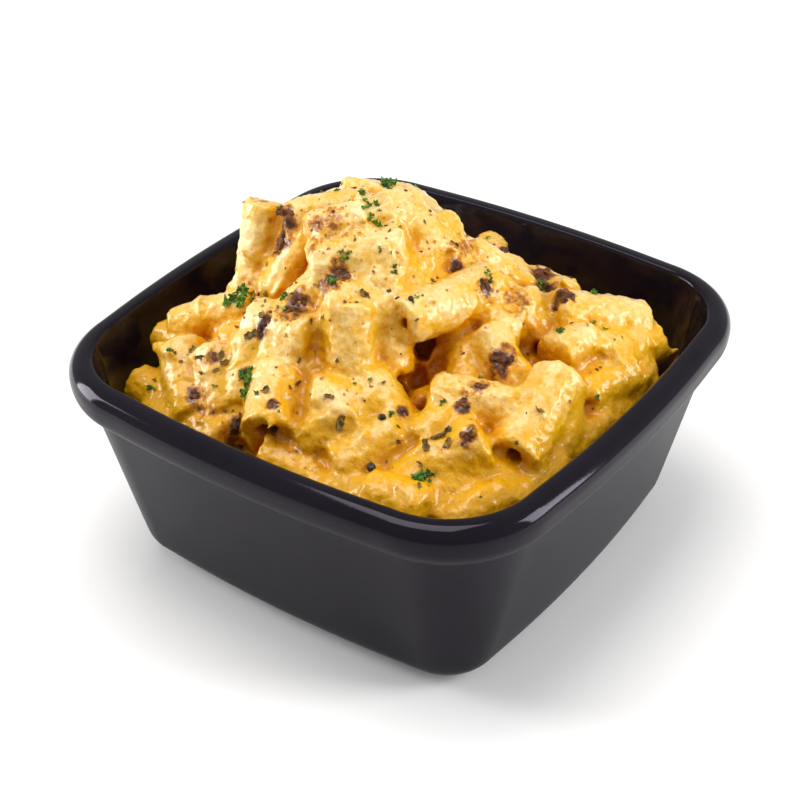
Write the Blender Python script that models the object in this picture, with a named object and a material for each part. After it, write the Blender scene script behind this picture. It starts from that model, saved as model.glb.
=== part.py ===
# Mac and cheese: short pasta tubes in cheese sauce, heaped in a square stoneware dish.
# Metres, +Z up. The origin is the centre of the dish's underside, the dish's sides face +-X and +-Y.
import math
import random

import bmesh
import bpy
from mathutils import Vector

mm = 0.001

# The dish
rim_width = 120 * mm            # across the rim, from the middle of one side to the middle of the other
rim_height = 51.8 * mm
rim_radius = 24.3 * mm          # corner radius seen from above
side_bow = math.radians(5.7)    # half the angle that each side's shallow arc turns through
lip_height = 9.3 * mm
lip_step = 2.0 * mm             # the band's lower edge is drawn in by this much
lip_ledge = 1.9 * mm            # and stands this far out from the body below it
rim_edge_radius = 3.7 * mm      # outer edge of the rim's top
inner_edge_radius = 1.3 * mm
rim_top_width = 5.6 * mm        # from the outside to the inner wall
base_width = 95 * mm            # across the body, just above the rounding of its foot
base_radius = 12.4 * mm
foot_reach = 12 * mm            # the foot's rounding is an ellipse, this far in
foot_height = 7.3 * mm          # and this high
floor_thickness = 5.5 * mm
floor_radius = 9 * mm
side_segments = 6
corner_segments = 7
edge_segments = 5

# The filling
dish_gap = 0.35 * mm            # clear space between the filling and the dish
bed_height = 34 * mm            # the filling's level beside the walls that it leaves bare
pasta_radius = 5.2 * mm         # with its coat of sauce
pasta_length = 15 * mm
bed_spacing = 11.5 * mm
voxel = 1.7 * mm
heap_triangles = 5200           # before the cavity cuts it

# Pieces of pasta that shape the heap: both ends of each piece's axis, in millimetres
pile = [
    ((-35, -3, 68), (-34, -7, 60)), ((-23, -4, 67), (-25, -9, 59)), ((-33, -11, 56), (-26, -12, 55)),
    ((-18, -25, 58), (-8, -26, 59)), ((-3, -19, 65), (3, -13, 63)), ((0, -24, 61), (2, -21, 57)),
    ((4, -12, 61), (8, -16, 54)), ((-9, -14, 66), (-12, -20, 62)), ((-14, -7, 73), (-6, 5, 74)),
    ((-1, -4, 71), (-11, -12, 69)), ((-6, 9, 73), (2, 6, 68)), ((-1, 14, 68), (5, 11, 62)),
    ((2, 3, 66), (3, -6, 64)), ((6, 18, 60), (10, 20, 57)), ((-25, -3, 71), (-16, 3, 73)),
    ((9, -10, 63), (14, 8, 62)), ((-20, 10, 72), (-14, 16, 70)),
]
terrace = [
    ((-41, -23, 49), (-30, -18, 53)), ((-34, -33, 47), (-27, -39, 43)), ((-42, -38, 41), (-36, -40, 41)),
    ((-25, -33, 50), (-19, -38, 46)), ((-8, -31, 59), (-4, -40, 45)), ((-18, -30, 54), (-15, -36, 48)),
    ((-13, -41, 43), (-6, -44, 42)), ((3, -32, 51), (13, -25, 50)), ((5, -40, 45), (9, -34, 49)),
    ((14, -40, 44), (18, -32, 48)), ((9, -25, 51), (17, -28, 48)), ((13, 1, 54), (21, -8, 50)),
    ((22, 0, 54), (30, -4, 50)), ((16, 11, 57), (21, 5, 55)), ((21, 14, 56), (25, 13, 53)),
    ((23, -18, 51), (33, -14, 50)), ((27, -36, 42), (34, -27, 47)), ((35, -38, 42), (40, -29, 43)),
    ((38, -18, 45), (40, -4, 53)), ((42, -4, 48), (45, -13, 43)), ((30, 18, 54), (39, 28, 50)),
    ((40, 16, 50), (41, 27, 47)), ((43, 6, 46), (45, 16, 45)), ((9, 28, 53), (15, 23, 53)),
    ((14, 32, 50), (23, 28, 51)), ((-6, 41, 46), (1, 33, 51)),
]

# The far side of the pile: rows of pieces round its peak, as (radius, height) in millimetres
peak = (-13, 5)
far_rows = ((13, 66), (20, 58), (27, 48), (33, 39))
far_start, far_end = 25, 165    # degrees from +X, towards +Y

# Smooth mounds of sauce and buried pasta under the pieces: centre and half sizes, in millimetres
mounds = [
    ((-4, -8, 36), (42, 42, 16)), ((-10, 0, 50), (27, 24, 20)), ((-12, 2, 58), (17, 12, 12)),
    ((22, 0, 38), (30, 32, 13)), ((-10, -36, 32), (40, 20, 11)), ((30, -20, 32), (26, 34, 11)),
    ((-30, -28, 34), (22, 24, 12)), ((-18, 22, 34), (20, 16, 8)), ((12, 22, 34), (24, 16, 8)),
]


def material(name, rgb, roughness):
    made = bpy.data.materials.new(name)
    made.use_nodes = True
    shader = made.node_tree.nodes["Principled BSDF"]
    shader.inputs["Base Color"].default_value = (*rgb, 1)
    shader.inputs["Roughness"].default_value = roughness
    shader.inputs["Metallic"].default_value = 0
    return made


def add_object(name, mesh_data, made=None):
    added = bpy.data.objects.new(name, mesh_data)
    bpy.context.collection.objects.link(added)
    if made:
        mesh_data.materials.append(made)
    return added


def rounded_square(half, radius, height):
    """One outline of the dish, `half` from the middle of a side to the centre. Each side is a shallow
    arc that runs tangent into its corner arcs, so outlines with equal half - radius stay parallel."""
    reach = math.cos(side_bow) - math.sin(side_bow)
    side_radius = (half - radius * reach) / (1 - reach)
    side_centre = half - side_radius
    corner_centre = (side_radius - radius) * math.sin(side_bow)
    quarter = []
    for step in range(side_segments):
        angle = -side_bow + 2 * side_bow * step / side_segments
        quarter.append((side_centre + side_radius * math.cos(angle), side_radius * math.sin(angle)))
    for step in range(corner_segments):
        angle = side_bow + (math.pi / 2 - 2 * side_bow) * step / corner_segments
        quarter.append((corner_centre + radius * math.cos(angle), corner_centre + radius * math.sin(angle)))
    outline = []
    for turn in range(4):
        cosine, sine = [(1, 0), (0, 1), (-1, 0), (0, -1)][turn]
        outline += [Vector((x * cosine - y * sine, x * sine + y * cosine, height)) for x, y in quarter]
    return outline


def loft(outlines):
    """A closed solid through the outlines, from the underside's cap to the last one's."""
    bm = bmesh.new()
    rings = [[bm.verts.new(point) for point in outline] for outline in outlines]
    count = len(rings[0])
    for lower, upper in zip(rings, rings[1:]):
        for i in range(count):
            j = (i + 1) % count
            bm.faces.new((lower[i], lower[j], upper[j], upper[i]))
    bm.faces.new(reversed(rings[0]))
    bm.faces.new(rings[-1])
    return bm


def arc(centre, radius, start, end, steps):
    """Points (out, up) on an arc round `centre`, with angles in degrees from straight out."""
    angles = [math.radians(start + (end - start) * step / steps) for step in range(steps + 1)]
    return [(centre[0] + radius * math.cos(a), centre[1] + radius * math.sin(a)) for a in angles]


def body_slope():
    return (rim_width / 2 - lip_step - lip_ledge - base_width / 2) / (rim_height - lip_height - foot_height)


def outer_profile():
    half = rim_width / 2
    ledge_height = rim_height - lip_height
    body_top = half - lip_step - lip_ledge
    # The foot's ellipse starts where it runs tangent into the tapered body
    tangent = math.degrees(math.atan(body_slope() * foot_height / foot_reach))
    foot = arc((0, 0), 1, -90, -tangent, edge_segments)
    profile = [(base_width / 2 + foot_reach * (out - 1), foot_height * (up + 1)) for out, up in foot]
    # A small hollow fillet under the lip, then the band, drawn in at its lower edge
    profile += [(body_top - 0.2 * mm, ledge_height - 1.0 * mm),
                (body_top + 0.2 * mm, ledge_height - 0.2 * mm),
                (half - lip_step - 0.5 * mm, ledge_height)]
    band_height = lip_height - rim_edge_radius
    for step in range(4):
        swing = math.pi / 2 * step / 4
        profile.append((half - lip_step * (1 - math.sin(swing)),
                        ledge_height + 0.4 * mm + band_height * (1 - math.cos(swing))))
    rim_centre = (half - rim_edge_radius, rim_height - rim_edge_radius)
    return profile + arc(rim_centre, rim_edge_radius, 0, 90, edge_segments)


def inner_profile(gap=0.0):
    """The cavity from the rim's inner edge down to the floor, drawn in by `gap`."""
    edge = rim_width / 2 - rim_top_width
    wall_foot = edge - body_slope() * (rim_height - floor_thickness - floor_radius)
    wall_top = (edge - body_slope() * inner_edge_radius, rim_height - inner_edge_radius)
    floor_centre = (wall_foot - floor_radius, floor_thickness + floor_radius)
    wall = [wall_top] + arc(floor_centre, floor_radius, 0, -90, edge_segments)
    return [(out - gap, up + gap) for out, up in wall]


def outline_at(out, up):
    """The dish's outline at one point of its profile: corners tighten towards the base."""
    lift = min(max(up / (rim_height - lip_height), 0), 1)
    inset_at_base = base_width / 2 - base_radius
    inset_at_rim = rim_width / 2 - rim_radius
    inset = inset_at_base + (inset_at_rim - inset_at_base) * lift
    return rounded_square(out, max(out - inset, 1.5 * mm), up)


def make_dish():
    half = rim_width / 2
    rim_edge = arc((half - rim_top_width + inner_edge_radius, rim_height - inner_edge_radius),
                   inner_edge_radius, 90, 170, 3)
    profile = outer_profile() + rim_edge + inner_profile()
    bm = loft([outline_at(out, up) for out, up in profile])
    dish_mesh = bpy.data.meshes.new("dish")
    bm.to_mesh(dish_mesh)
    bm.free()
    dish_mesh.shade_smooth()
    dish_mesh.set_sharp_from_angle(angle=math.radians(40))
    return add_object("dish", dish_mesh, material("glazed_stoneware", (0.035, 0.032, 0.042), 0.22))


def make_cavity():
    """The room that the dish leaves for its filling, carried straight up above the rim."""
    profile = list(reversed(inner_profile(dish_gap)))
    edge = profile[-1][0]
    sections = [outline_at(out, up) for out, up in profile] + [outline_at(edge, 2 * rim_height)]
    bm = loft(sections)
    cavity_mesh = bpy.data.meshes.new("cavity")
    bm.to_mesh(cavity_mesh)
    bm.free()
    cavity = add_object("cavity", cavity_mesh)
    cavity.hide_render = True
    cavity.display_type = "WIRE"
    return cavity


def add_pasta(bm, start, end, radius=pasta_radius):
    """A solid length of pasta between two points, with softened ends."""
    axis = end - start
    turn = axis.to_track_quat("Z", "Y").to_matrix().to_4x4()
    turn.translation = (start + end) / 2
    rings = []
    for along, size in ((-0.5, 0.75), (-0.42, 1), (0.42, 1), (0.5, 0.75)):
        ring = []
        for step in range(12):
            angle = math.tau * step / 12
            local = Vector((size * radius * math.cos(angle), size * radius * math.sin(angle), 0))
            local.z = along * (axis.length + 1.2 * radius)
            ring.append(bm.verts.new(turn @ local))
        rings.append(ring)
    for lower, upper in zip(rings, rings[1:]):
        for i in range(12):
            j = (i + 1) % 12
            bm.faces.new((lower[i], lower[j], upper[j], upper[i]))
    bm.faces.new(reversed(rings[0]))
    bm.faces.new(rings[-1])


def add_mound(bm, centre, size):
    """A rounded lump of sauce and pasta under the pieces that show."""
    ball = bmesh.ops.create_icosphere(bm, subdivisions=3, radius=1)["verts"]
    bmesh.ops.scale(bm, vec=Vector(size) * mm, verts=ball)
    bmesh.ops.translate(bm, vec=Vector(centre) * mm, verts=ball)


def bed_level(x, y):
    """The filling's level where no pile covers it: it falls away into the corner at +X +Y."""
    away = max(0.0, (x + y - 56 * mm) / (30 * mm))
    return bed_height - 15 * mm * min(away, 1.0)


def add_bed(bm, chance):
    """Pieces that lie every way over the whole dish, each with a lump of sauce under it."""
    for row in range(-5, 6):
        for column in range(-5, 6):
            x = (column + chance.uniform(-0.3, 0.3)) * bed_spacing
            y = (row + chance.uniform(-0.3, 0.3)) * bed_spacing
            heading = chance.uniform(0, math.pi)
            middle = Vector((x, y, bed_level(x, y) - pasta_radius + chance.uniform(-1, 2) * mm))
            axis = Vector((math.cos(heading), math.sin(heading), chance.uniform(-0.25, 0.25)))
            axis *= pasta_length / 2 * chance.uniform(0.8, 1.1)
            add_pasta(bm, middle - axis, middle + axis)
            add_mound(bm, (middle - Vector((0, 0, 7 * mm))) / mm, (9, 9, 9))


def add_far_slope(bm, chance):
    """Rows of pieces that lie across the pile's far slope, the lower rows longer than the upper."""
    for radius, height in far_rows:
        sweep = math.radians(far_end - far_start)
        count = round(sweep * radius * mm / pasta_length)
        for i in range(count):
            angle = math.radians(far_start) + sweep * (i + chance.uniform(0.3, 0.7)) / count
            out = Vector((math.cos(angle), math.sin(angle), 0))
            along = Vector((-out.y, out.x, 0))
            slant = chance.uniform(-0.7, 0.7)
            axis = (along + out * slant + Vector((0, 0, -slant))).normalized() * pasta_length / 2
            middle = Vector((*peak, 0)) + out * radius + Vector((0, 0, height + chance.uniform(-2, 2)))
            add_pasta(bm, middle * mm - axis, middle * mm + axis)


def keep_largest_shell(mesh_data):
    """Drops the shells of pockets shut in between pieces, so that one closed body is left."""
    bm = bmesh.new()
    bm.from_mesh(mesh_data)
    unseen = set(bm.verts)
    shells = []
    while unseen:
        front = [unseen.pop()]
        shell = list(front)
        while front:
            vertex = front.pop()
            for edge in vertex.link_edges:
                other = edge.other_vert(vertex)
                if other in unseen:
                    unseen.remove(other)
                    front.append(other)
                    shell.append(other)
        shells.append(shell)
    shells.sort(key=len)
    for shell in shells[:-1]:
        bmesh.ops.delete(bm, geom=shell, context="VERTS")
    bm.to_mesh(mesh_data)
    bm.free()


def evaluated_mesh(source):
    graph = bpy.context.evaluated_depsgraph_get()
    return bpy.data.meshes.new_from_object(source.evaluated_get(graph))


def make_heap(cavity):
    bm = bmesh.new()
    # The body of the filling, wider than the cavity, which cuts it to size below
    block = bmesh.ops.create_cube(bm, size=1)["verts"]
    bmesh.ops.scale(bm, vec=(1.1 * rim_width, 1.1 * rim_width, 24 * mm), verts=block)
    bmesh.ops.translate(bm, vec=(0, 0, 6 * mm), verts=block)
    for centre, size in mounds:
        add_mound(bm, centre, size)
    chance = random.Random(4)
    add_bed(bm, chance)
    add_far_slope(bm, chance)
    for start, end in pile + terrace:
        add_pasta(bm, Vector(start) * mm, Vector(end) * mm)
    loose_mesh = bpy.data.meshes.new("loose_pasta")
    bm.to_mesh(loose_mesh)
    bm.free()
    loose = add_object("loose_pasta", loose_mesh)
    merge = loose.modifiers.new("merge", "REMESH")
    merge.mode = "VOXEL"
    merge.voxel_size = voxel
    heap_mesh = evaluated_mesh(loose)
    bpy.data.objects.remove(loose)
    keep_largest_shell(heap_mesh)
    heap_mesh.materials.clear()
    heap = add_object("heap", heap_mesh, material("pasta_in_cheese_sauce", (0.83, 0.60, 0.20), 0.35))
    settle = heap.modifiers.new("settle", "SMOOTH")
    settle.iterations = 3
    thin = heap.modifiers.new("thin", "DECIMATE")
    thin.ratio = heap_triangles / (2 * len(heap_mesh.polygons))
    fit = heap.modifiers.new("fit_cavity", "BOOLEAN")
    fit.operation = "INTERSECT"
    fit.solver = "EXACT"
    fit.object = cavity
    return heap


for old in list(bpy.data.objects):
    bpy.data.objects.remove(old, do_unlink=True)
make_dish()
make_heap(make_cavity())
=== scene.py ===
# Baked mac and cheese in a square stoneware dish: the finished look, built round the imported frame
import math
import random

import bmesh
import bpy
from mathutils import Matrix, Vector, noise
from mathutils.bvhtree import BVHTree


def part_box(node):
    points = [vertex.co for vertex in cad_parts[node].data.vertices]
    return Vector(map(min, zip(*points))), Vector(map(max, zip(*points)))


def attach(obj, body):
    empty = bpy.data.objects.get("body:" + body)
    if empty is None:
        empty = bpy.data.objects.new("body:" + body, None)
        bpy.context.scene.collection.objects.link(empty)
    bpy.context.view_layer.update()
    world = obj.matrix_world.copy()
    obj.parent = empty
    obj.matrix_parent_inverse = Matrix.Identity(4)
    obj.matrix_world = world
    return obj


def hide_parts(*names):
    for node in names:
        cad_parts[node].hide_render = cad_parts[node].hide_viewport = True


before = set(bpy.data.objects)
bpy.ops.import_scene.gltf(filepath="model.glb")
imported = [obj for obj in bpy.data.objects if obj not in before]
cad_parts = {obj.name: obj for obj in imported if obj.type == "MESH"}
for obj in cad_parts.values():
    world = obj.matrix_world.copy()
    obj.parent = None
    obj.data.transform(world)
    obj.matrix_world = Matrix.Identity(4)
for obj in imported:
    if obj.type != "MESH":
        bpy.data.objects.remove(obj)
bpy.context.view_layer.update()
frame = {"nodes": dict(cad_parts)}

mm = 0.001
print("frame loaded:", ", ".join(frame["nodes"]))


# ---- small helpers

def linearColour(hexValue):
    # sRGB hex to the linear values that shaders take
    channels = [int(hexValue[i:i + 2], 16) / 255 for i in (1, 3, 5)]
    return [c / 12.92 if c <= 0.04045 else ((c + 0.055) / 1.055) ** 2.4 for c in channels] + [1.0]


def addNode(tree, kind, settings=None, links=None):
    # one node with its settings and the links into it; a key that isn't a property is an input socket
    node = tree.nodes.new(kind)
    for key, value in (settings or {}).items():
        if isinstance(key, str) and hasattr(node, key):
            setattr(node, key, value)
        else:
            node.inputs[key].default_value = value
    for key, source in (links or {}).items():
        tree.links.new(source, node.inputs[key])
    return node


def startMaterial(name):
    made = bpy.data.materials.new(name)
    made.use_nodes = True
    return made, made.node_tree, made.node_tree.nodes["Principled BSDF"]


def deselectAll():
    if bpy.context.object and bpy.context.object.mode != "OBJECT":
        bpy.ops.object.mode_set(mode="OBJECT")
    bpy.ops.object.select_all(action="DESELECT")


def makeActive(piece):
    deselectAll()
    piece.select_set(True)
    bpy.context.view_layer.objects.active = piece


def applyModifier(piece, kind, **settings):
    makeActive(piece)
    modifier = piece.modifiers.new(kind.lower(), kind)
    for key, value in settings.items():
        setattr(modifier, key, value)
    bpy.ops.object.modifier_apply(modifier=modifier.name)


def applyPlace(piece):
    makeActive(piece)
    bpy.ops.object.transform_apply(location=True, rotation=True, scale=True)


def joinPieces(parts, name):
    deselectAll()
    for part in parts:
        part.select_set(True)
    bpy.context.view_layer.objects.active = parts[0]
    if len(parts) > 1:
        bpy.ops.object.join()
    joined = bpy.context.object
    joined.name = joined.data.name = name
    applyPlace(joined)
    return joined


def finishPiece(piece, material, node=None):
    piece.data.materials.clear()
    piece.data.materials.append(material)
    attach(piece, "root")
    if node:
        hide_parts(node)


def arcPoints(centre, radii, startAngle, endAngle, steps):
    # (out, up) points on an ellipse's arc, angles in degrees from straight out
    angles = [math.radians(startAngle + (endAngle - startAngle) * i / steps) for i in range(steps + 1)]
    return [(centre[0] + radii[0] * math.cos(a), centre[1] + radii[1] * math.sin(a)) for a in angles]


# ---- the dish

dishLow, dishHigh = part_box("dish")
dish = {
    "half": dishHigh.x,             # middle of a side to the centre, at the rim's widest
    "height": dishHigh.z,
    "cornerRadius": 24.3 * mm,
    "sideBow": 1.8 * mm,            # each side stands out by this much at its middle
    "lipHeight": 9.3 * mm,
    "lipStep": 2.0 * mm,            # the band's lower edge is drawn in
    "lipLedge": 1.9 * mm,           # and stands out from the body
    "rimEdge": 3.7 * mm,
    "rimWidth": 5.6 * mm,
    "innerEdge": 1.3 * mm,
    "baseHalf": 47.5 * mm,
    "footReach": 11 * mm,
    "footHeight": 7.3 * mm,
    "floor": 5.5 * mm,
    "floorRadius": 9 * mm,
    "cornerSteps": 14,
    "sideCuts": 9,
}
dish["slope"] = ((dish["half"] - dish["lipStep"] - dish["lipLedge"] - dish["baseHalf"])
                 / (dish["height"] - dish["lipHeight"] - dish["footHeight"]))
dish["inset"] = dish["half"] - dish["cornerRadius"] - dish["sideBow"]  # centre of each corner's arc


def dishProfile():
    # the wall's section from the edge of the flat underside up, over the rim and down to the floor
    d = dish
    ledge = d["height"] - d["lipHeight"]
    bodyTop = d["half"] - d["lipStep"] - d["lipLedge"]
    tangent = math.degrees(math.atan(d["slope"] * d["footHeight"] / d["footReach"]))
    profile = arcPoints((d["baseHalf"] - d["footReach"], d["footHeight"]),
                        (d["footReach"], d["footHeight"]), -90, -tangent, 9)
    for share in (0.25, 0.5, 0.75, 0.93):
        profile.append((profile[9][0] + (bodyTop - 0.4 * mm - profile[9][0]) * share,
                        profile[9][1] + (ledge - 1.6 * mm - profile[9][1]) * share))
    # hollow fillet under the band, then the band's lower edge
    profile += arcPoints((bodyTop + 1.1 * mm, ledge - 1.3 * mm), (1.3 * mm, 1.3 * mm), 170, 95, 5)
    profile += arcPoints((d["half"] - d["lipStep"] - 0.75 * mm, ledge + 0.65 * mm),
                         (0.7 * mm, 0.7 * mm), -85, -10, 4)
    band = d["lipHeight"] - d["rimEdge"] - 0.8 * mm
    for step in range(1, 7):
        swing = math.pi / 2 * step / 7
        profile.append((d["half"] - d["lipStep"] * (1 - math.sin(swing)),
                        ledge + 0.8 * mm + band * (1 - math.cos(swing))))
    profile += arcPoints((d["half"] - d["rimEdge"], d["height"] - d["rimEdge"]),
                         (d["rimEdge"], d["rimEdge"]), 0, 90, 9)
    profile += arcPoints((d["half"] - d["rimWidth"] + d["innerEdge"], d["height"] - d["innerEdge"]),
                         (d["innerEdge"], d["innerEdge"]), 90, 172, 6)
    edge = d["half"] - d["rimWidth"]
    wallFoot = edge - d["slope"] * (d["height"] - d["floor"] - d["floorRadius"])
    floorArc = arcPoints((wallFoot - d["floorRadius"], d["floor"] + d["floorRadius"]),
                         (d["floorRadius"], d["floorRadius"]), 0, -90, 8)
    for share in (0.05, 0.35, 0.7):
        profile.append((edge - 0.3 * mm + (wallFoot - edge) * share,
                        d["height"] - 1.8 * mm + (floorArc[0][1] - d["height"]) * share))
    return profile + floorArc


def makeDish():
    d = dish
    profile = dishProfile()
    deselectAll()
    bpy.ops.mesh.primitive_plane_add(size=2 * (d["inset"] + d["cornerRadius"]), location=(0, 0, 0))
    piece = bpy.context.object
    bpy.ops.object.mode_set(mode="EDIT")
    bpy.ops.mesh.bevel(affect="VERTICES", offset=d["cornerRadius"], offset_type="OFFSET",
                       segments=d["cornerSteps"], profile=0.5)
    # the four long edges get points to bow through
    bm = bmesh.from_edit_mesh(piece.data)
    longEdges = [edge for edge in bm.edges if edge.calc_length() > d["inset"]]
    for edge in bm.edges:
        edge.select_set(edge in longEdges)
    bmesh.update_edit_mesh(piece.data)
    bpy.ops.mesh.subdivide(number_cuts=d["sideCuts"])
    bm = bmesh.from_edit_mesh(piece.data)
    cornerReach = d["inset"] + d["cornerRadius"]
    for vert in bm.verts:
        for axis, other in ((0, 1), (1, 0)):
            if abs(vert.co[other]) < d["inset"] + 1e-6 and abs(abs(vert.co[axis]) - cornerReach) < 1e-5:
                bow = d["sideBow"] * (1 - (vert.co[other] / d["inset"]) ** 2)
                vert.co[axis] += math.copysign(bow, vert.co[axis])
    # each step of the profile is the outline again, moved in or out along its own normals
    current = d["half"]
    bpy.ops.mesh.select_all(action="SELECT")
    for index, (out, up) in enumerate(profile):
        if index:
            bpy.ops.mesh.extrude_region_move()
        bm = bmesh.from_edit_mesh(piece.data)
        for vert in (v for v in bm.verts if v.select):
            apart = Vector([math.copysign(max(abs(vert.co[i]) - d["inset"], 0), vert.co[i]) for i in (0, 1)])
            apart.normalize()
            vert.co.x += apart.x * (out - current)
            vert.co.y += apart.y * (out - current)
            vert.co.z = up
        current = out
        bmesh.update_edit_mesh(piece.data)
    bpy.ops.mesh.inset(thickness=12 * mm)
    bpy.ops.mesh.select_all(action="SELECT")
    bpy.ops.mesh.normals_make_consistent(inside=False)
    bpy.ops.object.mode_set(mode="OBJECT")
    piece.name = piece.data.name = "stonewareDish"
    applyModifier(piece, "SUBSURF", levels=1, render_levels=1)
    makeActive(piece)
    bpy.ops.object.shade_smooth_by_angle(angle=math.radians(50))
    return piece


def glazedStoneware():
    # stoneware clay under a black gloss glaze: near-black body, a thin glassy coat, faint cool sheen
    material, tree, shader = startMaterial("glazedStoneware")
    place = addNode(tree, "ShaderNodeTexCoord")
    # glaze pools unevenly over several centimetres
    cloud = addNode(tree, "ShaderNodeTexNoise", {"Scale": 60.0, "Detail": 3.0},
                    {"Vector": place.outputs["Object"]})
    tone = addNode(tree, "ShaderNodeMix", {"data_type": "RGBA", 6: linearColour("#0c0a0e"),
                                           7: linearColour("#1a171f")},
                   {0: cloud.outputs["Fac"]})
    tree.links.new(tone.outputs[2], shader.inputs["Base Color"])
    # pinprick texture of fired glaze, 0.5 mm apart
    grain = addNode(tree, "ShaderNodeTexNoise", {"Scale": 1800.0, "Detail": 2.0},
                    {"Vector": place.outputs["Object"]})
    bump = addNode(tree, "ShaderNodeBump", {"Strength": 0.12, "Distance": 0.05 * mm},
                   {"Height": grain.outputs["Fac"]})
    tree.links.new(bump.outputs["Normal"], shader.inputs["Normal"])
    # the inside and the rim's top are glassy, the outside wall is a satin glaze
    finish = addNode(tree, "ShaderNodeAttribute", {"attribute_name": "satin"})
    rough = addNode(tree, "ShaderNodeMapRange", {"To Min": 0.09, "To Max": 0.36},
                    {"Value": finish.outputs["Fac"]})
    tree.links.new(rough.outputs["Result"], shader.inputs["Roughness"])
    shader.inputs["IOR"].default_value = 1.52
    dull = addNode(tree, "ShaderNodeMapRange", {"To Min": 0.28, "To Max": 0.13},
                   {"Value": finish.outputs["Fac"]})
    tree.links.new(dull.outputs["Result"], shader.inputs["Specular IOR Level"])
    shader.inputs["Specular Tint"].default_value = linearColour("#d6cbe2")
    return material


def paintSatin(piece):
    # 0 on the rim's top and inside, 1 on the band and the body outside
    layer = piece.data.attributes.new("satin", "FLOAT", "POINT")
    for vert in piece.data.vertices:
        inner = dish["half"] - dish["rimWidth"] + 1.0 * mm
        reach = max(abs(vert.co.x), abs(vert.co.y))
        outside = vert.normal.z < 0.5 and vert.co.x * vert.normal.x + vert.co.y * vert.normal.y > 0
        below = min(max((dish["height"] - 1.5 * mm - vert.co.z) / (4 * mm), 0), 1)
        layer.data[vert.index].value = below if outside and reach > 0.3 * inner else 0.0


dishPiece = makeDish()
paintSatin(dishPiece)
finishPiece(dishPiece, glazedStoneware(), "dish")
print("dish:", len(dishPiece.data.polygons), "faces")


# ---- the filling

pasta = {
    "radius": 5.0 * mm,             # a tube with its coat of sauce
    "hole": 2.1 * mm,
    "holeDepth": 8 * mm,
    "length": 20 * mm,
    "ends": 1.1,                    # each tube runs on past its listed ends by this many radii, in all
    "squash": 0.09,
    "bend": 0.9 * mm,
    "seed": 11,
}
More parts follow.
